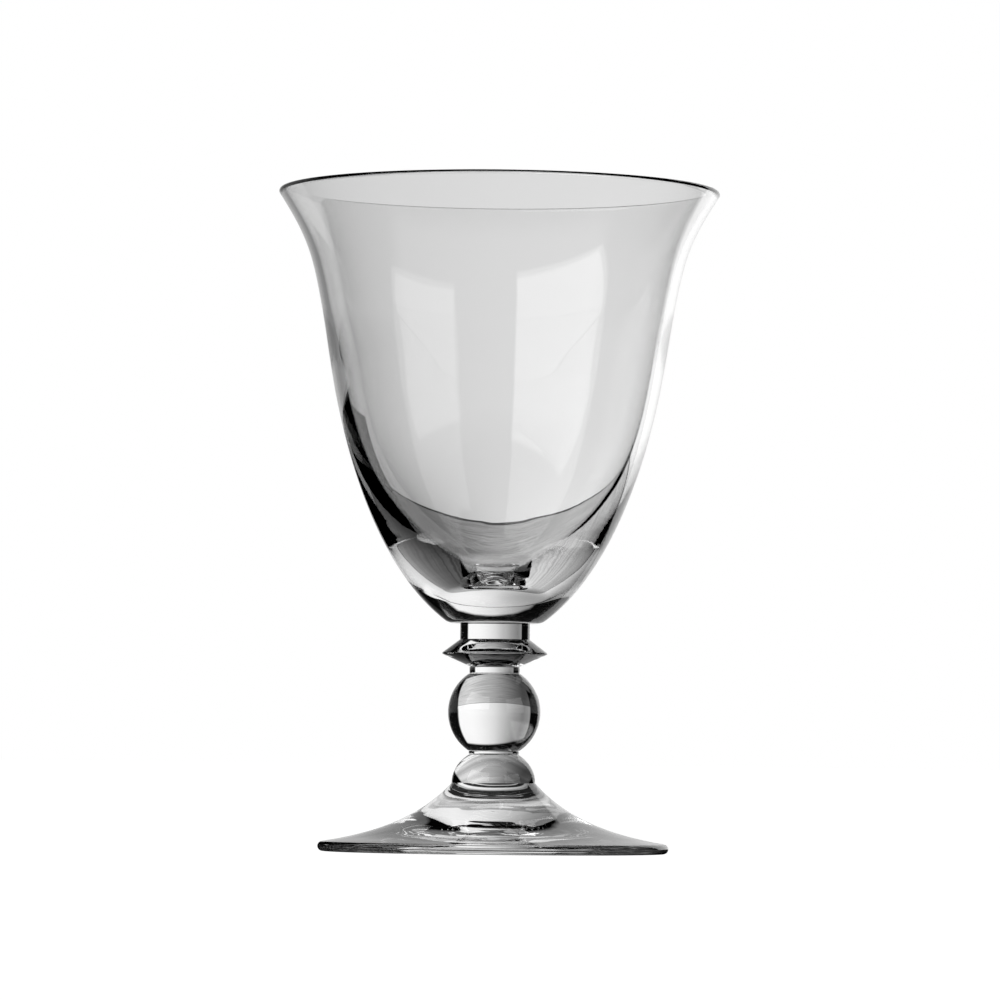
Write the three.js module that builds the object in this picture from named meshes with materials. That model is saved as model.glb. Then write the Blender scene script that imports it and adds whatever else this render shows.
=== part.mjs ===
// A stemmed water glass: a bell-shaped blown bowl with a heavy base, a stem built up from
// hot-joined pieces, and a spreading foot. Millimetres, +Z up, with the origin at the centre
// of the ring that the foot stands on. Every piece is a solid of revolution about the Z axis,
// and each stands with its flat lower face on the flat upper face of the piece below it.
//
// A long curve is set by where it starts and ends, by its slope at each end, and by its pull
// there: the share of the curve's span over which it keeps to that slope.
import * as THREE from "three";

// Bowl: outside
const RIM_DIAMETER = 93.3;
const BOWL_HEIGHT = 91.7;
const RIM_LEAN = 33; // degrees off the vertical where the flare ends
const RIM_PULL = 0.46;
const THROAT_DIAMETER = 75.2; // the straightest stretch, where the flare begins
const THROAT_HEIGHT = 68;
const THROAT_LEAN = 11.1; // degrees off the vertical
const THROAT_PULL = 0.39;
const BELLY_DIAMETER = 69.5;
const BELLY_HEIGHT = 51;
const BELLY_LEAN = 10.3; // degrees off the vertical
const BELLY_PULL = 0.345;
const BOWL_BASE_DIAMETER = 17.4; // the flat disc under the bowl
const BOWL_BASE_ROUND = 3.3;
const BOWL_BASE_SLOPE = 37.2; // degrees off the horizontal where the base's round ends
const BOWL_BASE_PULL = 0.295;
const SIDE_PULL = 0.33; // along the side, between the belly and the throat

// Bowl: thickness of the glass
const RIM_WALL = 1.3;
const THROAT_WALL = 1.7;
const BELLY_WALL = 2.6;
const BOWL_FLOOR_THICKNESS = 9.9;

// Bowl: the cavity's small dished floor, and the heel where the floor turns up into the wall
const FLOOR_PULL = 0.35;
const HEEL_DIAMETER = 16;
const HEEL_RISE = 0.6; // above the middle of the floor
const HEEL_SLOPE = 31.5; // degrees off the horizontal
const HEEL_FLOOR_PULL = 0.3;
const HEEL_WALL_PULL = 0.33;
const CAVITY_SIDE_PULL = 0.41;

// Stem, from the bowl down to the foot
const NECK_DIAMETER = 14.7;
const NECK_HEIGHT = 3.4;
const MERESE_DIAMETER = 22.2;
const MERESE_EDGE_ROUND = 0.25;
const MERESE_UPPER_HEIGHT = 2.95; // from the sharp edge up to the neck
const MERESE_LOWER_HEIGHT = 2.75; // from the sharp edge down to the wafer
const WAFER_DIAMETER = 10.6;
const WAFER_EDGE_ROUND = 0.3;
const UPPER_WAFER_HEIGHT = 1.55;
const LOWER_WAFER_HEIGHT = 0.9;
const BALL_DIAMETER = 19.5;
const BALL_SEAT_DIAMETER = 10.9; // the flats, above and below, that the wafers meet
const BASE_KNOP_DIAMETER = 17.7;
const BASE_KNOP_HEIGHT = 5.95;

// Foot
const FOOT_DIAMETER = 74;
const FOOT_HEIGHT = 14.6;
const FOOT_EDGE_THICKNESS = 2.1;
const FOOT_EDGE_SLOPE = 9; // degrees off the horizontal beside the edge
const FOOT_EDGE_PULL = 0.47;
const FOOT_TOP_SLOPE = 48; // degrees off the horizontal under the base knop
const FOOT_TOP_PULL = 0.27;
const FOOT_RING_WIDTH = 2.4; // the flat ring that meets the table
const FOOT_HOLLOW_RISE = 1.6; // how far the underside rises towards the axis

// Facets
const SIDES = 48; // around the axis
const LONG_CURVE_STEPS = 12;
const CURVE_STEPS = 8;
const SHORT_CURVE_STEPS = 4;
const ROUND_STEPS = 3;

const GLASS_COLOUR = 0xdfe3e2;
const GLASS_ROUGHNESS = 0.03;
const GLASS_OPACITY = 0.35;

const { degToRad, radToDeg } = THREE.MathUtils;

// A point of a profile: its distance from the axis and its height in the piece.
const at = (radius, height) => new THREE.Vector2(radius, height);

// The point that lies a distance away from another, in a direction given off the horizontal.
function along(point, angle, distance) {
  return at(
    point.x + distance * Math.cos(degToRad(angle)),
    point.y + distance * Math.sin(degToRad(angle)),
  );
}

// Points on a circular arc that runs from one angle to another, in degrees.
function arc(centre, radius, from, to, steps) {
  const curve = new THREE.EllipseCurve(
    centre.x, centre.y, radius, radius, degToRad(from), degToRad(to), to < from,
  );
  return curve.getPoints(steps);
}

// Points on a cubic curve that leaves its start, and arrives at its end, in given directions.
function sweep(start, startAngle, startPull, end, endAngle, endPull, steps) {
  const span = start.distanceTo(end);
  const curve = new THREE.CubicBezierCurve(
    start,
    along(start, startAngle, startPull * span),
    along(end, endAngle, -endPull * span),
    end,
  );
  return curve.getPoints(steps);
}

// A closed solid from a profile that runs from the axis below, round the outside, to the axis
// above. A point that repeats where two stretches of the profile join is left out.
function turn(profile) {
  const points = profile.filter((point, i) => i === 0 || !point.equals(profile[i - 1]));
  return new THREE.LatheGeometry(points, SIDES).rotateX(Math.PI / 2);
}

// The foot: a thin round edge, a concave rise to the stem, and a hollow under it so that it
// stands on a flat ring and not on its middle.
function footProfile() {
  const edgeRound = FOOT_EDGE_THICKNESS / 2;
  const edgeCentre = at(FOOT_DIAMETER / 2 - edgeRound, edgeRound);
  const edge = arc(edgeCentre, edgeRound, -90, 90 - FOOT_EDGE_SLOPE, 2 * ROUND_STEPS);
  const hollowRadius = edgeCentre.x - FOOT_RING_WIDTH;
  const hollowRound = (hollowRadius ** 2 + FOOT_HOLLOW_RISE ** 2) / (2 * FOOT_HOLLOW_RISE);
  const hollowCentre = at(0, FOOT_HOLLOW_RISE - hollowRound);
  const hollowEnd = radToDeg(Math.acos(hollowRadius / hollowRound));
  const seat = at(BASE_KNOP_DIAMETER / 2, FOOT_HEIGHT);
  const rise = sweep(
    edge.at(-1), 180 - FOOT_EDGE_SLOPE, FOOT_EDGE_PULL,
    seat, 180 - FOOT_TOP_SLOPE, FOOT_TOP_PULL, LONG_CURVE_STEPS,
  );
  return [
    ...arc(hollowCentre, hollowRound, 90, hollowEnd, CURVE_STEPS),
    ...edge,
    ...rise,
    at(0, FOOT_HEIGHT),
  ];
}

// The base knop: the upper half of a flattened ball, cut off level where the wafer stands.
function baseKnopProfile() {
  const seatShare = WAFER_DIAMETER / BASE_KNOP_DIAMETER;
  const fullHeight = BASE_KNOP_HEIGHT / Math.sqrt(1 - seatShare ** 2);
  const dome = new THREE.EllipseCurve(
    0, 0, BASE_KNOP_DIAMETER / 2, fullHeight, 0, Math.acos(seatShare), false,
  );
  return [at(0, 0), ...dome.getPoints(CURVE_STEPS), at(0, BASE_KNOP_HEIGHT)];
}

// A wafer: the small disc of glass that joins two larger pieces, with softened edges.
function waferProfile(height) {
  const inset = WAFER_DIAMETER / 2 - WAFER_EDGE_ROUND;
  const lowCentre = at(inset, WAFER_EDGE_ROUND);
  const highCentre = at(inset, height - WAFER_EDGE_ROUND);
  return [
    at(0, 0),
    ...arc(lowCentre, WAFER_EDGE_ROUND, -90, 0, ROUND_STEPS),
    ...arc(highCentre, WAFER_EDGE_ROUND, 0, 90, ROUND_STEPS),
    at(0, height),
  ];
}

// The ball knop: a ball cut off level, above and below, where the wafers meet it.
const BALL_HEIGHT = Math.sqrt(BALL_DIAMETER ** 2 - BALL_SEAT_DIAMETER ** 2);

function ballProfile() {
  const centre = at(0, BALL_HEIGHT / 2);
  const cut = radToDeg(Math.acos(BALL_SEAT_DIAMETER / BALL_DIAMETER));
  return [
    at(0, 0),
    ...arc(centre, BALL_DIAMETER / 2, -cut, cut, 2 * CURVE_STEPS),
    at(0, BALL_HEIGHT),
  ];
}

// The merese: a disc with two sloping faces that meet in a sharp edge.
const MERESE_HEIGHT = MERESE_LOWER_HEIGHT + MERESE_UPPER_HEIGHT;

function mereseProfile() {
  const seat = at(WAFER_DIAMETER / 2, 0);
  const top = at(NECK_DIAMETER / 2, MERESE_HEIGHT);
  const edgeCentre = at(MERESE_DIAMETER / 2 - MERESE_EDGE_ROUND, MERESE_LOWER_HEIGHT);
  const lowerSlope = radToDeg(edgeCentre.clone().sub(seat).angle());
  const upperSlope = radToDeg(top.clone().sub(edgeCentre).angle());
  return [
    at(0, 0),
    seat,
    ...arc(edgeCentre, MERESE_EDGE_ROUND, lowerSlope - 90, upperSlope - 90, ROUND_STEPS),
    top,
    at(0, MERESE_HEIGHT),
  ];
}

// The neck: a short plain post under the bowl.
function neckProfile() {
  const radius = NECK_DIAMETER / 2;
  return [at(0, 0), at(radius, 0), at(radius, NECK_HEIGHT), at(0, NECK_HEIGHT)];
}

// The bowl: a bell that swells from a small flat base, straightens at the throat and flares to
// a fire-polished rim. Its wall is thin at the rim and grows into a heavy base. There the cavity
// has a shape of its own, a small dished floor that turns up at a heel, and above the belly it
// follows the outside by the wall's thickness.
function bowlProfile() {
  const baseCentre = at(BOWL_BASE_DIAMETER / 2, BOWL_BASE_ROUND);
  const base = arc(baseCentre, BOWL_BASE_ROUND, -90, BOWL_BASE_SLOPE - 90, ROUND_STEPS);
  const rimRound = RIM_WALL / 2;
  const rimCentre = at(RIM_DIAMETER / 2 - rimRound, BOWL_HEIGHT - rimRound);
  const rim = arc(rimCentre, rimRound, -RIM_LEAN, 180 - RIM_LEAN, 2 * ROUND_STEPS);
  const belly = at(BELLY_DIAMETER / 2, BELLY_HEIGHT);
  const throat = at(THROAT_DIAMETER / 2, THROAT_HEIGHT);
  const innerBelly = at(belly.x - BELLY_WALL, BELLY_HEIGHT);
  const innerThroat = at(throat.x - THROAT_WALL, THROAT_HEIGHT);
  const heel = at(HEEL_DIAMETER / 2, BOWL_FLOOR_THICKNESS + HEEL_RISE);
  const bellySlope = 90 - BELLY_LEAN;
  const throatSlope = 90 - THROAT_LEAN;

  const lowerOutside = sweep(
    base.at(-1), BOWL_BASE_SLOPE, BOWL_BASE_PULL,
    belly, bellySlope, BELLY_PULL, LONG_CURVE_STEPS,
  );
  const floor = sweep(
    at(0, BOWL_FLOOR_THICKNESS), 0, FLOOR_PULL,
    heel, HEEL_SLOPE, HEEL_FLOOR_PULL, SHORT_CURVE_STEPS,
  );
  const lowerWall = sweep(
    heel, HEEL_SLOPE, HEEL_WALL_PULL,
    innerBelly, bellySlope, CAVITY_SIDE_PULL, LONG_CURVE_STEPS,
  );
  const side = (from, to) =>
    sweep(from, bellySlope, SIDE_PULL, to, throatSlope, SIDE_PULL, SHORT_CURVE_STEPS);
  const flare = (from, to) =>
    sweep(from, throatSlope, THROAT_PULL, to, 90 - RIM_LEAN, RIM_PULL, CURVE_STEPS);
  const cavity = [
    ...floor,
    ...lowerWall,
    ...side(innerBelly, innerThroat),
    ...flare(innerThroat, rim.at(-1)),
  ];
  return [
    at(0, 0),
    ...base,
    ...lowerOutside,
    ...side(belly, throat),
    ...flare(throat, rim[0]),
    ...rim,
    ...cavity.reverse(),
  ];
}

// One piece of the glass, with a material of its own.
function piece(name, profile) {
  const material = new THREE.MeshStandardMaterial({
    color: GLASS_COLOUR,
    roughness: GLASS_ROUGHNESS,
    metalness: 0,
    transparent: true,
    opacity: GLASS_OPACITY,
  });
  const mesh = new THREE.Mesh(turn(profile), material);
  mesh.name = name;
  return mesh;
}

// The pieces in the order in which they stand on each other, each with its own height.
const PIECES = [
  ["foot", footProfile(), FOOT_HEIGHT],
  ["base_knop", baseKnopProfile(), BASE_KNOP_HEIGHT],
  ["lower_wafer", waferProfile(LOWER_WAFER_HEIGHT), LOWER_WAFER_HEIGHT],
  ["ball_knop", ballProfile(), BALL_HEIGHT],
  ["upper_wafer", waferProfile(UPPER_WAFER_HEIGHT), UPPER_WAFER_HEIGHT],
  ["merese", mereseProfile(), MERESE_HEIGHT],
  ["neck", neckProfile(), NECK_HEIGHT],
  ["bowl", bowlProfile(), BOWL_HEIGHT],
];

const glass = new THREE.Group();
glass.name = "water_glass";
let standsAt = 0;
for (const [name, profile, height] of PIECES) {
  const mesh = piece(name, profile);
  mesh.position.z = standsAt;
  glass.add(mesh);
  standsAt += height;
}

export default glass;
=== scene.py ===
"""A stemmed water glass of clear glass, on a pale studio floor.

Eight pieces are turned on one axis and fused hot: foot, base knop, lower wafer, ball knop, upper wafer,
merese, neck and bowl. Metres, +Z up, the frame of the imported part.
"""
import math

import bpy
from mathutils import Matrix, Vector
from mathutils.geometry import interpolate_bezier


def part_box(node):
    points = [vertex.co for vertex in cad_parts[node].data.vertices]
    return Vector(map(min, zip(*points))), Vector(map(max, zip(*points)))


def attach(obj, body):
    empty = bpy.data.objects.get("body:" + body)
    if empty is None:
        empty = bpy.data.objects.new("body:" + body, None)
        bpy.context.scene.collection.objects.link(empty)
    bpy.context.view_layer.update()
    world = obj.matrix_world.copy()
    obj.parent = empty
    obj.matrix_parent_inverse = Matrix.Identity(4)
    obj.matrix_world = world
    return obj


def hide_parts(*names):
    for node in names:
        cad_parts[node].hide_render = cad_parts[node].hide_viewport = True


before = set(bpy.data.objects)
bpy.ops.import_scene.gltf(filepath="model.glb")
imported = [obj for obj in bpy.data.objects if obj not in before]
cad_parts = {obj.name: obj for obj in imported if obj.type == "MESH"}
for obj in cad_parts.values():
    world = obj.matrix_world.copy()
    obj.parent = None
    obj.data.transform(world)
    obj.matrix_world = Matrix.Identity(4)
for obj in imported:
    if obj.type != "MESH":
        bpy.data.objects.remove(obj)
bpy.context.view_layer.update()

MM = 0.001

# Fineness of the turned surfaces
SIDES = 256
LONG_CURVE_STEPS = 56
CURVE_STEPS = 28
SHORT_CURVE_STEPS = 12
ROUND_STEPS = 8

# The bowl's template: slopes in degrees, pulls as a share of each curve's span
RIM_LEAN = 33.0
RIM_PULL = 0.46
THROAT_RADIUS = 37.6 * MM
THROAT_HEIGHT = 68.0 * MM
THROAT_LEAN = 11.1
THROAT_PULL = 0.39
BELLY_RADIUS = 34.75 * MM
BELLY_HEIGHT = 51.0 * MM
BELLY_LEAN = 10.3
BELLY_PULL = 0.345
BOWL_BASE_RADIUS = 8.7 * MM
BOWL_BASE_ROUND = 3.3 * MM
BOWL_BASE_SLOPE = 37.2
BOWL_BASE_PULL = 0.295
SIDE_PULL = 0.33
RIM_WALL = 1.3 * MM
THROAT_WALL = 1.7 * MM
BELLY_WALL = 2.6 * MM
BOWL_FLOOR = 9.9 * MM
FLOOR_PULL = 0.35
HEEL_RADIUS = 8.0 * MM
HEEL_RISE = 0.6 * MM
HEEL_SLOPE = 31.5
HEEL_FLOOR_PULL = 0.3
HEEL_WALL_PULL = 0.33
CAVITY_SIDE_PULL = 0.41

# The stem's template
MERESE_EDGE_ROUND = 0.25 * MM
MERESE_EDGE_HEIGHT = 2.75 * MM
WAFER_EDGE_ROUND = 0.3 * MM

# The foot's template
FOOT_EDGE_ROUND = 1.05 * MM
FOOT_EDGE_SLOPE = 9.0
FOOT_EDGE_PULL = 0.47
FOOT_TOP_SLOPE = 48.0
FOOT_TOP_PULL = 0.27
FOOT_RING_WIDTH = 2.4 * MM
FOOT_HOLLOW_RISE = 1.6 * MM


def radius_of(node):
    low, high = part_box(node)
    return (high.x - low.x) / 2


def height_of(node):
    low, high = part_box(node)
    return high.z - low.z


def at(radius, height):
    """A point of a profile: its distance from the axis and its height in the piece."""
    return Vector((radius, 0.0, height))


def along(point, angle, distance):
    return point + distance * at(math.cos(math.radians(angle)), math.sin(math.radians(angle)))


def arc(centre, radius, start, end, steps):
    """Points on a circular arc between two angles in degrees."""
    return [along(centre, start + (end - start) * i / steps, radius) for i in range(steps + 1)]


def sweep(start, start_angle, start_pull, end, end_angle, end_pull, steps):
    """Points on a cubic curve that leaves its start, and arrives at its end, in given directions."""
    span = (end - start).length
    lead_out = along(start, start_angle, start_pull * span)
    lead_in = along(end, end_angle, -end_pull * span)
    return interpolate_bezier(start, lead_out, lead_in, end, steps + 1)


def foot_profile():
    height = height_of("foot")
    edge_centre = at(radius_of("foot") - FOOT_EDGE_ROUND, FOOT_EDGE_ROUND)
    edge = arc(edge_centre, FOOT_EDGE_ROUND, -90, 90 - FOOT_EDGE_SLOPE, 2 * ROUND_STEPS)
    hollow_radius = edge_centre.x - FOOT_RING_WIDTH
    hollow_round = (hollow_radius**2 + FOOT_HOLLOW_RISE**2) / (2 * FOOT_HOLLOW_RISE)
    hollow_centre = at(0, FOOT_HOLLOW_RISE - hollow_round)
    hollow_end = math.degrees(math.acos(hollow_radius / hollow_round))
    seat = at(radius_of("base_knop"), height)
    rise = sweep(
        edge[-1], 180 - FOOT_EDGE_SLOPE, FOOT_EDGE_PULL,
        seat, 180 - FOOT_TOP_SLOPE, FOOT_TOP_PULL, LONG_CURVE_STEPS,
    )
    hollow = arc(hollow_centre, hollow_round, 90, hollow_end, CURVE_STEPS)
    return [*hollow, *edge, *rise, at(0, height)]


def base_knop_profile():
    radius, height = radius_of("base_knop"), height_of("base_knop")
    seat_share = radius_of("lower_wafer") / radius
    full_height = height / math.sqrt(1 - seat_share**2)
    turn = math.acos(seat_share)
    dome = [
        at(radius * math.cos(turn * i / CURVE_STEPS), full_height * math.sin(turn * i / CURVE_STEPS))
        for i in range(CURVE_STEPS + 1)
    ]
    return [at(0, 0), *dome, at(wafer_seat("lower_wafer"), height), at(0, height)]


def wafer_seat(wafer):
    """Radius of the flat on which a wafer meets the pieces above and below it."""
    return radius_of(wafer) - WAFER_EDGE_ROUND


def wafer_profile(wafer):
    height = height_of(wafer)
    low_centre = at(wafer_seat(wafer), WAFER_EDGE_ROUND)
    high_centre = at(wafer_seat(wafer), height - WAFER_EDGE_ROUND)
    return [
        at(0, 0),
        *arc(low_centre, WAFER_EDGE_ROUND, -90, 0, ROUND_STEPS),
        *arc(high_centre, WAFER_EDGE_ROUND, 0, 90, ROUND_STEPS),
        at(0, height),
    ]


def ball_profile():
    radius, height = radius_of("ball_knop"), height_of("ball_knop")
    cut = math.degrees(math.asin(height / 2 / radius))
    return [
        at(0, 0),
        at(wafer_seat("lower_wafer"), 0),
        *arc(at(0, height / 2), radius, -cut, cut, 2 * CURVE_STEPS),
        at(wafer_seat("upper_wafer"), height),
        at(0, height),
    ]


def merese_profile():
    height = height_of("merese")
    seat = at(radius_of("upper_wafer"), 0)
    top = at(radius_of("neck"), height)
    edge_centre = at(radius_of("merese") - MERESE_EDGE_ROUND, MERESE_EDGE_HEIGHT)
    lower, upper = edge_centre - seat, top - edge_centre
    lower_normal = math.degrees(math.atan2(lower.z, lower.x)) - 90
    upper_normal = math.degrees(math.atan2(upper.z, upper.x)) - 90
    edge = arc(edge_centre, MERESE_EDGE_ROUND, lower_normal, upper_normal, ROUND_STEPS)
    return [at(0, 0), at(wafer_seat("upper_wafer"), 0), seat, *edge, top, at(0, height)]


def neck_profile():
    radius, height = radius_of("neck"), height_of("neck")
    return [at(0, 0), at(radius, 0), at(radius, height), at(0, height)]


def bowl_profile():
    base_centre = at(BOWL_BASE_RADIUS, BOWL_BASE_ROUND)
    base = arc(base_centre, BOWL_BASE_ROUND, -90, BOWL_BASE_SLOPE - 90, ROUND_STEPS)
    rim_round = RIM_WALL / 2
    rim_centre = at(radius_of("bowl") - rim_round, height_of("bowl") - rim_round)
    rim = arc(rim_centre, rim_round, -RIM_LEAN, 180 - RIM_LEAN, 2 * ROUND_STEPS)
    belly = at(BELLY_RADIUS, BELLY_HEIGHT)
    throat = at(THROAT_RADIUS, THROAT_HEIGHT)
    inner_belly = at(BELLY_RADIUS - BELLY_WALL, BELLY_HEIGHT)
    inner_throat = at(THROAT_RADIUS - THROAT_WALL, THROAT_HEIGHT)
    belly_slope, throat_slope = 90 - BELLY_LEAN, 90 - THROAT_LEAN

    def side(start, end):
        return sweep(start, belly_slope, SIDE_PULL, end, throat_slope, SIDE_PULL, SHORT_CURVE_STEPS)

    def flare(start, end):
        return sweep(start, throat_slope, THROAT_PULL, end, 90 - RIM_LEAN, RIM_PULL, CURVE_STEPS)

    outside = sweep(
        base[-1], BOWL_BASE_SLOPE, BOWL_BASE_PULL,
        belly, belly_slope, BELLY_PULL, LONG_CURVE_STEPS,
    )
    heel = at(HEEL_RADIUS, BOWL_FLOOR + HEEL_RISE)
    cavity_floor = sweep(
        at(0, BOWL_FLOOR), 0, FLOOR_PULL,
        heel, HEEL_SLOPE, HEEL_FLOOR_PULL, CURVE_STEPS,
    )
    cavity_wall = sweep(
        heel, HEEL_SLOPE, HEEL_WALL_PULL,
        inner_belly, belly_slope, CAVITY_SIDE_PULL, LONG_CURVE_STEPS,
    )
    inside = [*cavity_floor, *cavity_wall, *side(inner_belly, inner_throat), *flare(inner_throat, rim[-1])]
    return [
        at(0, 0),
        at(radius_of("neck"), 0),
        *base,
        *outside,
        *side(belly, throat),
        *flare(throat, rim[0]),
        *rim,
        *reversed(inside),
    ]


# Two points of a profile closer than this are one point
SAME_POINT = 0.002 * MM
CREASE_ANGLE = 25.0


def turn_piece(node, profile):
    """Draws a point out along the profile, turns the line about the axis, and closes the solid."""
    bpy.ops.object.select_all(action="DESELECT")
    bpy.ops.mesh.primitive_plane_add(size=MM)
    piece = bpy.context.object
    piece.name = piece.data.name = node + "_glass"
    bpy.ops.object.mode_set(mode="EDIT")
    bpy.ops.mesh.merge(type="CENTER")
    bottom = at(0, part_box(node)[0].z)
    bpy.ops.transform.translate(value=profile[0] + bottom)
    reached = profile[0]
    for point in profile[1:]:
        if (point - reached).length > SAME_POINT:
            bpy.ops.mesh.extrude_region_move(TRANSFORM_OT_translate={"value": point - reached})
            reached = point
    bpy.ops.object.mode_set(mode="OBJECT")
    bpy.ops.object.modifier_add(type="SCREW")
    lathe = piece.modifiers["Screw"]
    lathe.angle = math.tau
    lathe.steps = lathe.render_steps = SIDES
    bpy.ops.object.modifier_apply(modifier=lathe.name)
    bpy.ops.object.mode_set(mode="EDIT")
    bpy.ops.mesh.select_all(action="SELECT")
    bpy.ops.mesh.remove_doubles(threshold=SAME_POINT / 2)
    bpy.ops.mesh.normals_make_consistent(inside=False)
    bpy.ops.object.mode_set(mode="OBJECT")
    bpy.ops.object.shade_smooth_by_angle(angle=math.radians(CREASE_ANGLE))
    return piece


def new_group(name, inputs, outputs):
    """An empty shader node group with number sockets, and its two end nodes."""
    group = bpy.data.node_groups.new(name, "ShaderNodeTree")
    for socket in inputs:
        group.interface.new_socket(socket, in_out="INPUT", socket_type="NodeSocketFloat")
    for socket in outputs:
        group.interface.new_socket(socket, in_out="OUTPUT", socket_type="NodeSocketFloat")
    return group, group.nodes.new("NodeGroupInput").outputs, group.nodes.new("NodeGroupOutput").inputs


def calculate(tree, operation, *values, clamp=False):
    """A Math node on links and plain numbers; gives its result's socket."""
    node = tree.nodes.new("ShaderNodeMath")
    node.operation = operation
    node.use_clamp = clamp
    for socket, value in zip(node.inputs, values):
        if isinstance(value, (int, float)):
            socket.default_value = value
        else:
            tree.links.new(value, socket)
    return node.outputs["Value"]


def place_group(tree, group, **values):
    """Places a group in a tree, with links or plain numbers on its inputs."""
    node = tree.nodes.new("ShaderNodeGroup")
    node.node_tree = group
    for name, value in values.items():
        if isinstance(value, (int, float)):
            node.inputs[name].default_value = value
        else:
            tree.links.new(value, node.inputs[name])
    return node


def from_axis(tree, x, y):
    """Distance from the axis of a place at x and y."""
    return calculate(tree, "SQRT", calculate(tree, "MULTIPLY_ADD", x, x, calculate(tree, "MULTIPLY", y, y)))


# The skin of the glass: how closely its marks lie, per metre across and up, and how fine their noise goes
RING_LENGTH_CLOSENESS = 30.0
RING_DETAIL = 0.5
WAVE_CLOSENESS = (110.0, 110.0, 170.0)
WAVE_DETAIL = 1.0
HAZE_CLOSENESS = (90.0, 90.0, 40.0)
HAZE_DETAIL = 3.0


def object_place(tree):
    """The x, y and z of a place in the object's own coordinates."""
    coordinates = tree.nodes.new("ShaderNodeTexCoord")
    place = tree.nodes.new("ShaderNodeSeparateXYZ")
    tree.links.new(coordinates.outputs["Object"], place.inputs["Vector"])
    return place.outputs


def noise_of(tree, vector, detail):
    noise = tree.nodes.new("ShaderNodeTexNoise")
    noise.inputs["Scale"].default_value = 1.0
    noise.inputs["Detail"].default_value = detail
    tree.links.new(vector, noise.inputs["Vector"])
    return noise.outputs["Fac"]


def noise_at(tree, closeness, detail):
    """Noise in the object's own coordinates, as fine as asked along each axis."""
    coordinates = tree.nodes.new("ShaderNodeTexCoord")
    stretch = tree.nodes.new("ShaderNodeMapping")
    stretch.inputs["Scale"].default_value = closeness
    tree.links.new(coordinates.outputs["Object"], stretch.inputs["Vector"])
    return noise_of(tree, stretch.outputs["Vector"], detail)


def turned_noise(tree, closeness):
    """Noise that runs round the axis in rings, both up a steep wall and out along a level one."""
    x, y, z = object_place(tree)
    along_wall = calculate(tree, "ADD", z, from_axis(tree, x, y))
    ring = tree.nodes.new("ShaderNodeCombineXYZ")
    tree.links.new(calculate(tree, "MULTIPLY", x, RING_LENGTH_CLOSENESS), ring.inputs["X"])
    tree.links.new(calculate(tree, "MULTIPLY", y, RING_LENGTH_CLOSENESS), ring.inputs["Y"])
    tree.links.new(calculate(tree, "MULTIPLY", along_wall, closeness), ring.inputs["Z"])
    return noise_of(tree, ring.outputs["Vector"], RING_DETAIL)


def skin_group():
    """Height of the skin in millimetres: level rings left by the tools, and a slow unevenness."""
    group, given, wanted = new_group("glass_skin", ("Rings", "Closeness", "Waves"), ("Height",))
    rings = calculate(group, "MULTIPLY", turned_noise(group, given["Closeness"]), given["Rings"])
    waves = noise_at(group, WAVE_CLOSENESS, WAVE_DETAIL)
    group.links.new(calculate(group, "MULTIPLY_ADD", waves, given["Waves"], rings), wanted["Height"])
    return group


def haze_group():
    """Roughness of the polished skin, a little uneven from wiping and handling."""
    group, given, wanted = new_group("glass_haze", ("Most",), ("Roughness",))
    haze = calculate(group, "MULTIPLY", noise_at(group, HAZE_CLOSENESS, HAZE_DETAIL), given["Most"])
    group.links.new(haze, wanted["Roughness"])
    return group


def fade_group():
    """Fades from 1 at a low height to 0 at a high one, in millimetres up the axis."""
    group, given, wanted = new_group("fade_up", ("Low", "High"), ("Mask",))
    height = calculate(group, "DIVIDE", object_place(group)["Z"], MM)
    below = calculate(group, "SUBTRACT", given["High"], height)
    span = calculate(group, "SUBTRACT", given["High"], given["Low"])
    group.links.new(calculate(group, "DIVIDE", below, span, clamp=True), wanted["Mask"])
    return group


SKIN = skin_group()
HAZE = haze_group()
FADE = fade_group()
GLASS_INDEX = 1.52
MOST_HAZE = 0.01
# Tool rings to the metre, and the height of rings and waves in millimetres
FINE_RINGS = 700.0
BROAD_RINGS = 210.0
BOWL_RINGS = 0.004
BOWL_WAVES = 0.045
BOWL_RIM_WAVES = 0.001
STEM_RINGS = 0.0025
STEM_WAVES = 0.008
FOOT_RINGS = 0.25
FOOT_WAVES = 0.15
# The bowl is uneven up to the first height and smooth from the second on, in millimetres
BOWL_UNEVEN = (60.0, 84.0)


def glass_material(name, rings, closeness, waves):
    """Clear glass with a skin of its own: rings and waves in millimetres, and rings to the metre."""
    material = bpy.data.materials.new(name)
    material.use_nodes = True
    tree = material.node_tree
    shader = tree.nodes["Principled BSDF"]
    shader.inputs["Base Color"].default_value = (1.0, 1.0, 1.0, 1.0)
    shader.inputs["IOR"].default_value = GLASS_INDEX
    shader.inputs["Transmission Weight"].default_value = 1.0
    haze = place_group(tree, HAZE, Most=MOST_HAZE)
    tree.links.new(haze.outputs["Roughness"], shader.inputs["Roughness"])
    skin = place_group(tree, SKIN, Rings=rings, Closeness=closeness, Waves=waves)
    bump = tree.nodes.new("ShaderNodeBump")
    bump.inputs["Distance"].default_value = MM
    tree.links.new(skin.outputs["Height"], bump.inputs["Height"])
    tree.links.new(bump.outputs["Normal"], shader.inputs["Normal"])
    return material, tree, skin


def bowl_glass():
    """The blown bowl: smooth above, a little uneven low down where the glass is thick."""
    material, tree, skin = glass_material("bowl_glass", BOWL_RINGS, FINE_RINGS, BOWL_WAVES)
    low = place_group(tree, FADE, Low=BOWL_UNEVEN[0], High=BOWL_UNEVEN[1]).outputs["Mask"]
    tree.links.new(calculate(tree, "MULTIPLY", low, BOWL_RINGS), skin.inputs["Rings"])
    tree.links.new(calculate(tree, "MULTIPLY_ADD", low, BOWL_WAVES, BOWL_RIM_WAVES), skin.inputs["Waves"])
    return material


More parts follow.
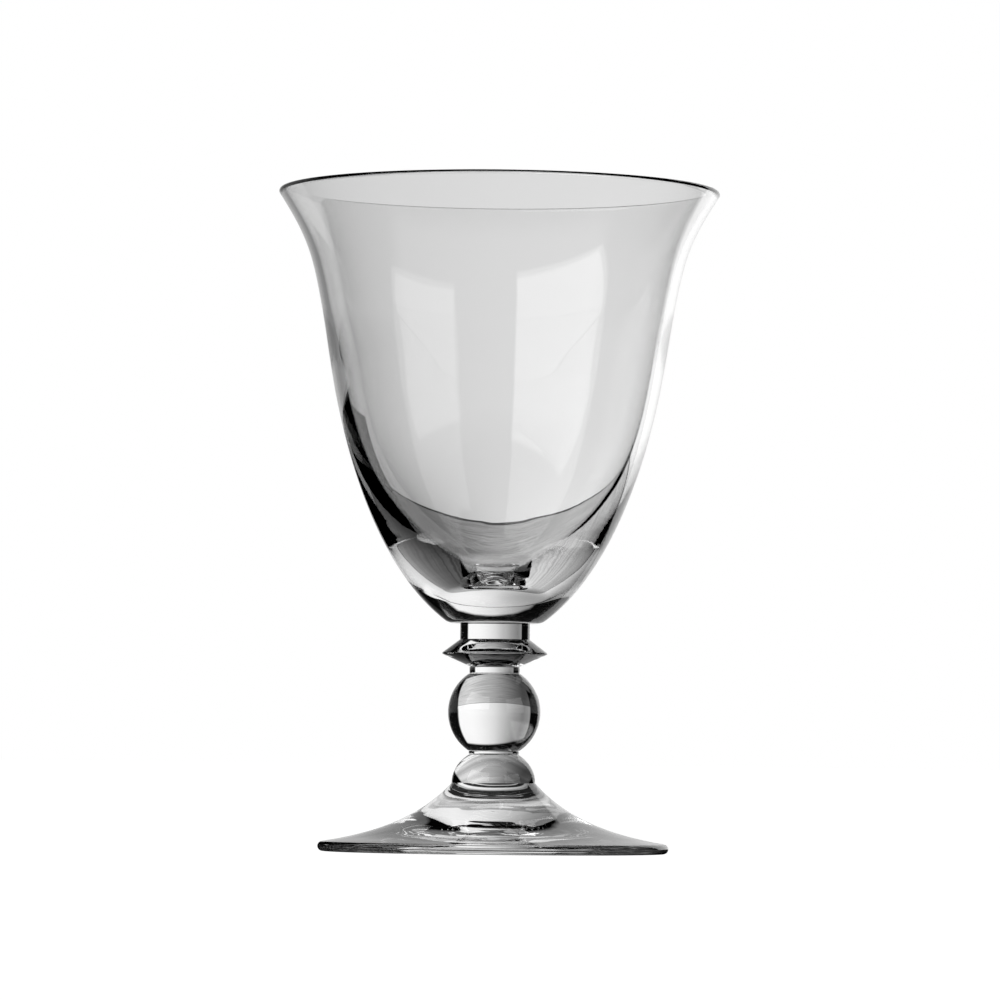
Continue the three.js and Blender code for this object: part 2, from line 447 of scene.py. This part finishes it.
def stem_glass():
    """The knops, wafers and merese: faint tool rings only."""
    return glass_material("stem_glass", STEM_RINGS, FINE_RINGS, STEM_WAVES)[0]


def foot_glass():
    """The foot: worked flat by hand while it turned, so its skin runs in broad rings and waves."""
    return glass_material("foot_glass", FOOT_RINGS, BROAD_RINGS, FOOT_WAVES)[0]


def fused_joint():
    """The face inside a fused joint, where the glass runs on and nothing shows."""
    material = bpy.data.materials.new("fused_joint")
    material.use_nodes = True
    shader = material.node_tree.nodes["Principled BSDF"]
    shader.inputs["Alpha"].default_value = 0.0
    return material


stem = stem_glass()
GLASS = {"foot": foot_glass(), "bowl": bowl_glass()}
joint = fused_joint()

# Each piece, its profile, and how far from the axis it is fused to the piece below and above it
PIECES = [
    ("foot", foot_profile(), None, radius_of("base_knop")),
    ("base_knop", base_knop_profile(), radius_of("base_knop"), wafer_seat("lower_wafer")),
    ("lower_wafer", wafer_profile("lower_wafer"), wafer_seat("lower_wafer"), wafer_seat("lower_wafer")),
    ("ball_knop", ball_profile(), wafer_seat("lower_wafer"), wafer_seat("upper_wafer")),
    ("upper_wafer", wafer_profile("upper_wafer"), wafer_seat("upper_wafer"), wafer_seat("upper_wafer")),
    ("merese", merese_profile(), wafer_seat("upper_wafer"), radius_of("neck")),
    ("neck", neck_profile(), radius_of("neck"), radius_of("neck")),
    ("bowl", bowl_profile(), radius_of("neck"), None),
]


def mark_joint(piece, height, radius):
    """Gives the joint's material to the flat faces at one height that lie within the fused radius."""
    for face in piece.data.polygons:
        level = abs(face.center.z - height) < SAME_POINT
        if level and math.hypot(face.center.x, face.center.y) < radius:
            face.material_index = 1


for node, profile, fused_below, fused_above in PIECES:
    piece = turn_piece(node, profile)
    piece.data.materials.append(GLASS.get(node, stem))
    piece.data.materials.append(joint)
    low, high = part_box(node)
    if fused_below:
        mark_joint(piece, low.z, fused_below)
    if fused_above:
        mark_joint(piece, high.z, fused_above)
    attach(piece, "root")
    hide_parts(node)

# Camera: low, a little above the table, looking slightly up
CAMERA_DISTANCE = 1.267
CAMERA_HEIGHT = 0.0195
CAMERA_SIDE = 0.00075
CAMERA_LENS = 216.0
CAMERA_SENSOR = 36.0
CAMERA_REACH = (0.01, 100.0)
CAMERA_PITCH = 2.48
CAMERA_ROLL = 0.6


def add_camera():
    bpy.ops.object.camera_add()
    camera = bpy.context.object
    camera.data.lens = CAMERA_LENS
    camera.data.sensor_width = CAMERA_SENSOR
    camera.matrix_world = (
        Matrix.Translation((CAMERA_SIDE, -CAMERA_DISTANCE, CAMERA_HEIGHT))
        @ Matrix.Rotation(math.radians(90 + CAMERA_PITCH), 4, "X")
        @ Matrix.Rotation(math.radians(CAMERA_ROLL), 4, "Z")
    )
    camera.data.clip_start, camera.data.clip_end = CAMERA_REACH
    bpy.context.scene.camera = camera


def panel_group():
    """A soft-edged panel on the sky, in degrees: 1 inside and 0 outside. Its top edge may slope."""
    group, given, wanted = new_group(
        "panel",
        ("Azimuth", "Elevation", "Left", "Right", "Bottom", "Top", "Slope", "Softness"),
        ("Mask",),
    )
    across = calculate(
        group, "MINIMUM",
        calculate(group, "SUBTRACT", given["Azimuth"], given["Left"]),
        calculate(group, "SUBTRACT", given["Right"], given["Azimuth"]),
    )
    top = calculate(group, "MULTIPLY_ADD", given["Azimuth"], given["Slope"], given["Top"])
    upward = calculate(
        group, "MINIMUM",
        calculate(group, "SUBTRACT", given["Elevation"], given["Bottom"]),
        calculate(group, "SUBTRACT", top, given["Elevation"]),
    )
    depth = calculate(group, "MINIMUM", across, upward)
    group.links.new(calculate(group, "DIVIDE", depth, given["Softness"], clamp=True), wanted["Mask"])
    return group


# The room round the glass: azimuth in degrees from straight behind, right positive, and brightness there
ROOM = [
    (-78, 0.0),
    (-62, 0.20),
    (-38, 0.30),
    (-28, 0.21),
    (-19, 0.32),
    (-12, 0.46),
    (-6, 0.60),
    (0, 0.77),
    (6, 0.88),
    (12, 0.97),
    (20, 1.04),
    (39, 1.08),
    (41, 0.0),
]
FULL_TURN = 360.0
# The front of the room begins here
FRONT_FROM = 98.0
FRONT_FULL = 108.0


def room_group():
    """Brightness round the room: a wall lit from the right behind the glass, and a plain front."""
    group, given, wanted = new_group("room", ("Azimuth", "Front"), ("Level",))
    ramp = group.nodes.new("ShaderNodeValToRGB")
    stops = ramp.color_ramp.elements
    for azimuth, level in ROOM:
        stops.new(azimuth / FULL_TURN + 0.5).color = (level, level, level, 1.0)
    stops[0].color = stops[-1].color = (0.0, 0.0, 0.0, 1.0)
    share = calculate(group, "MULTIPLY_ADD", given["Azimuth"], 1 / FULL_TURN, 0.5)
    group.links.new(share, ramp.inputs["Fac"])
    past = calculate(group, "SUBTRACT", calculate(group, "ABSOLUTE", given["Azimuth"]), FRONT_FROM)
    front = calculate(group, "DIVIDE", past, FRONT_FULL - FRONT_FROM, clamp=True)
    level = calculate(group, "MULTIPLY_ADD", front, given["Front"], ramp.outputs["Color"])
    group.links.new(level, wanted["Level"])
    return group


CEILING_LEVEL = 0.002
FRONT_LEVEL = 0.02
# Panels: left, right, bottom and top edge in degrees, slope of the top edge, edge softness, brightness
WALL = (-180, 180, -90, 35, 0.1, 3.0)
SOFTBOXES = [
    (-168, -99, 5, 53, 0.09, 2.0, 1.9),
    (100, 149, 8, 31, 0.0, 1.5, 1.25),
    (100, 149, -5, 9, 0.0, 1.5, 0.8),
]


def place_panel(tree, panel, azimuth, elevation, edges):
    left, right, bottom, top, slope, softness = edges
    placed = place_group(
        tree, panel, Azimuth=azimuth, Elevation=elevation,
        Left=left, Right=right, Bottom=bottom, Top=top, Slope=slope, Softness=softness,
    )
    return placed.outputs["Mask"]


def add_world(panel, room):
    """The studio as the glass sees it, and plain white straight behind for the camera."""
    world = bpy.data.worlds.new("studio")
    bpy.context.scene.world = world
    world.use_nodes = True
    tree = world.node_tree
    direction = tree.nodes.new("ShaderNodeSeparateXYZ")
    coordinates = tree.nodes.new("ShaderNodeTexCoord")
    tree.links.new(coordinates.outputs["Generated"], direction.inputs["Vector"])
    azimuth = calculate(
        tree, "DEGREES", calculate(tree, "ARCTAN2", direction.outputs["X"], direction.outputs["Y"])
    )
    elevation = calculate(tree, "DEGREES", calculate(tree, "ARCSINE", direction.outputs["Z"]))
    wall = place_panel(tree, panel, azimuth, elevation, WALL)
    level = place_group(tree, room, Azimuth=azimuth, Front=FRONT_LEVEL).outputs["Level"]
    picture = calculate(tree, "MULTIPLY_ADD", level, wall, CEILING_LEVEL)
    for *edges, brightness in SOFTBOXES:
        softbox = place_panel(tree, panel, azimuth, elevation, edges)
        picture = calculate(tree, "MULTIPLY_ADD", softbox, brightness, picture)
    path = tree.nodes.new("ShaderNodeLightPath")
    shown = calculate(tree, "MAXIMUM", picture, path.outputs["Is Camera Ray"])
    tree.links.new(shown, tree.nodes["Background"].inputs["Color"])


def stage_material(name):
    """A dull material for the studio, its shader, and masks of the camera's rays and of the glass's rays."""
    material = bpy.data.materials.new(name)
    material.use_nodes = True
    tree = material.node_tree
    shader = tree.nodes["Principled BSDF"]
    shader.inputs["Roughness"].default_value = 1.0
    shader.inputs["Specular IOR Level"].default_value = 0.0
    path = tree.nodes.new("ShaderNodeLightPath").outputs
    from_glass = calculate(tree, "MAXIMUM", path["Is Transmission Ray"], path["Is Glossy Ray"])
    return material, tree, shader, path["Is Camera Ray"], from_glass


# A black card that stands just behind the glass on the left: its inner and outer edge, and its height
CARD_BEHIND = 0.06
CARD_INNER = -0.0415
CARD_OUTER = -0.6
CARD_HEIGHT = 0.09


def add_card():
    """The card that draws the dark edge of the clear glass. Only the glass sees it."""
    material, tree, shader, _, from_glass = stage_material("black_card")
    shader.inputs["Base Color"].default_value = (0.0, 0.0, 0.0, 1.0)
    tree.links.new(from_glass, shader.inputs["Alpha"])
    middle = ((CARD_INNER + CARD_OUTER) / 2, CARD_BEHIND, CARD_HEIGHT / 2)
    bpy.ops.mesh.primitive_plane_add(size=1.0, location=middle, rotation=(math.pi / 2, 0.0, 0.0))
    card = bpy.context.object
    card.name = "black_card"
    card.scale = (CARD_INNER - CARD_OUTER, CARD_HEIGHT, 1.0)
    bpy.ops.object.transform_apply(location=True, rotation=True, scale=True)
    card.data.materials.append(material)


# The table top, in metres from the glass's axis
TABLE_SIZE = 40.0
TABLE_DEPTH = 0.238
TABLE_EDGE_WIDTH = 0.012
TABLE_EDGE_TONE = 0.25
TABLE_WHITE = 0.93
TABLE_GREY = 0.5
# Painted light on it against the room's, darker at the left and lighter at the right where the light falls
# from: azimuth in degrees and painted level there, at the left and at the right
PAINTED_LIGHT_LEFT = (-35.0, 0.32)
PAINTED_LIGHT_RIGHT = (25.0, 0.80)
# Its grain: closeness per metre, fineness, noise levels, and the darkest tone of a streak
GRAIN_CLOSENESS = (25.0, 450.0, 1.0)
GRAIN_DETAIL = 6.0
GRAIN_NOISE = (0.3, 0.6)
GRAIN_DARKEST = 0.5
# Under the foot, out from the axis: a bright ring where its thick middle gathers light, and its rim's shadow
BRIGHT_RING = (0.016, 0.018)
BRIGHT_RING_GAIN = 1.7
RIM_SHADOW = (0.0255, 0.028)
RIM_SHADOW_TONE = 0.06
OPEN_TABLE = (0.0395, 0.0415)
# Beyond these azimuths the table is in shadow
SHADE_LEFT = (-46.0, -42.0)
SHADE_RIGHT = (39.0, 41.0)
# In front it is lit again: azimuths to either side, distances from the axis, and level
FRONT_TABLE_SIDES = (108.0, 118.0)
FRONT_TABLE_NEAR = (0.16, 0.22)
FRONT_TABLE_LEVEL = 0.42


def between(tree, value, start, end):
    """A value that runs from one (place, level) to another and stays level beyond them."""
    node = tree.nodes.new("ShaderNodeMapRange")
    node.inputs["From Min"].default_value, node.inputs["To Min"].default_value = start
    node.inputs["From Max"].default_value, node.inputs["To Max"].default_value = end
    tree.links.new(value, node.inputs["Value"])
    return node.outputs["Result"]


def light_behind(tree, azimuth, y, level):
    """The table behind the glass: painted lighter to the right and darker to the left as the light falls,
    with a dark far edge, and painted shade aside.
    """
    left = between(tree, azimuth, (SHADE_LEFT[0], 0.0), (SHADE_LEFT[1], 1.0))
    right = between(tree, azimuth, (SHADE_RIGHT[0], 1.0), (SHADE_RIGHT[1], 0.0))
    lit = calculate(tree, "MULTIPLY", calculate(tree, "MULTIPLY", left, right), level)
    # Painted light: the table lighter to the right, where the light falls from, and darker to the left
    lit = calculate(tree, "MULTIPLY", lit, between(tree, azimuth, PAINTED_LIGHT_LEFT, PAINTED_LIGHT_RIGHT))
    edge = calculate(tree, "GREATER_THAN", y, TABLE_DEPTH - TABLE_EDGE_WIDTH)
    return calculate(tree, "MULTIPLY", lit, calculate(tree, "MULTIPLY_ADD", edge, TABLE_EDGE_TONE - 1, 1.0))


def painted_light_under_foot(tree, away):
    """Painted light and shadow under the foot: bright in a ring under its thick middle where it gathers
    light, dark in its rim's shadow, and plain beyond it.
    """
    gathered = between(tree, away, (BRIGHT_RING[0], 1.0), (BRIGHT_RING[1], BRIGHT_RING_GAIN))
    shaded = between(tree, away, (RIM_SHADOW[0], 1.0), (RIM_SHADOW[1], RIM_SHADOW_TONE / BRIGHT_RING_GAIN))
    outside = between(tree, away, (OPEN_TABLE[0], 0.0), (OPEN_TABLE[1], 1.0))
    return calculate(tree, "MAXIMUM", calculate(tree, "MULTIPLY", gathered, shaded), outside)


def light_in_front(tree, azimuth, away):
    aside = calculate(tree, "ABSOLUTE", azimuth)
    front = between(tree, aside, (FRONT_TABLE_SIDES[0], 0.0), (FRONT_TABLE_SIDES[1], FRONT_TABLE_LEVEL))
    clear = between(tree, away, (FRONT_TABLE_NEAR[0], 0.0), (FRONT_TABLE_NEAR[1], 1.0))
    return calculate(tree, "MULTIPLY", front, clear)


def table_light(tree, room):
    """The painted light and shade of the table as the glass sees it, with its grain, and past its far edge
    the room's light.
    """
    x, y, _ = object_place(tree)
    azimuth = calculate(tree, "DEGREES", calculate(tree, "ARCTAN2", x, y))
    away = from_axis(tree, x, y)
    level = place_group(tree, room, Azimuth=azimuth, Front=0.0).outputs["Level"]
    # Painted light and shade: the lit table behind, times the painted bright ring and rim shadow under the
    # foot
    lit = calculate(tree, "MULTIPLY", light_behind(tree, azimuth, y, level), painted_light_under_foot(tree, away))
    grain = noise_at(tree, GRAIN_CLOSENESS, GRAIN_DETAIL)
    streak = between(tree, grain, (GRAIN_NOISE[0], GRAIN_DARKEST), (GRAIN_NOISE[1], 1.0))
    table = calculate(tree, "MULTIPLY", lit, streak)
    table = calculate(tree, "MAXIMUM", table, light_in_front(tree, azimuth, away))
    beyond = calculate(tree, "GREATER_THAN", y, TABLE_DEPTH)
    return calculate(tree, "MAXIMUM", table, calculate(tree, "MULTIPLY", beyond, level))


def add_floor(room):
    """A table top: white to the camera, with the glass's shadow, and through the glass grained grey with
    painted light and shade.
    """
    bpy.ops.mesh.primitive_plane_add(size=TABLE_SIZE)
    floor = bpy.context.object
    floor.name = "studio_floor"
    material, tree, shader, from_camera, from_glass = stage_material("studio_floor")
    shader.inputs["Base Color"].default_value = (TABLE_GREY, TABLE_GREY, TABLE_GREY, 1.0)
    shader.inputs["Emission Color"].default_value = (1.0, 1.0, 1.0, 1.0)
    white = calculate(tree, "MULTIPLY", from_camera, TABLE_WHITE)
    tree.links.new(white, shader.inputs["Emission Strength"])
    seen = tree.nodes.new("ShaderNodeEmission")
    tree.links.new(table_light(tree, room), seen.inputs["Strength"])
    choice = tree.nodes.new("ShaderNodeMixShader")
    tree.links.new(from_glass, choice.inputs["Fac"])
    tree.links.new(shader.outputs["BSDF"], choice.inputs[1])
    tree.links.new(seen.outputs["Emission"], choice.inputs[2])
    tree.links.new(choice.outputs["Shader"], tree.nodes["Material Output"].inputs["Surface"])
    floor.data.materials.append(material)


room = room_group()
add_camera()
add_world(panel_group(), room)
add_floor(room)
add_card()

# Light is followed this far, and dies away after so many reflections inside the thick glass
LIGHT_BOUNCES = 32
INNER_REFLECTIONS = 5
scene = bpy.context.scene
scene.view_settings.view_transform = "Standard"
scene.cycles.max_bounces = LIGHT_BOUNCES
scene.cycles.glossy_bounces = INNER_REFLECTIONS
scene.cycles.transmission_bounces = LIGHT_BOUNCES
scene.cycles.transparent_max_bounces = LIGHT_BOUNCES
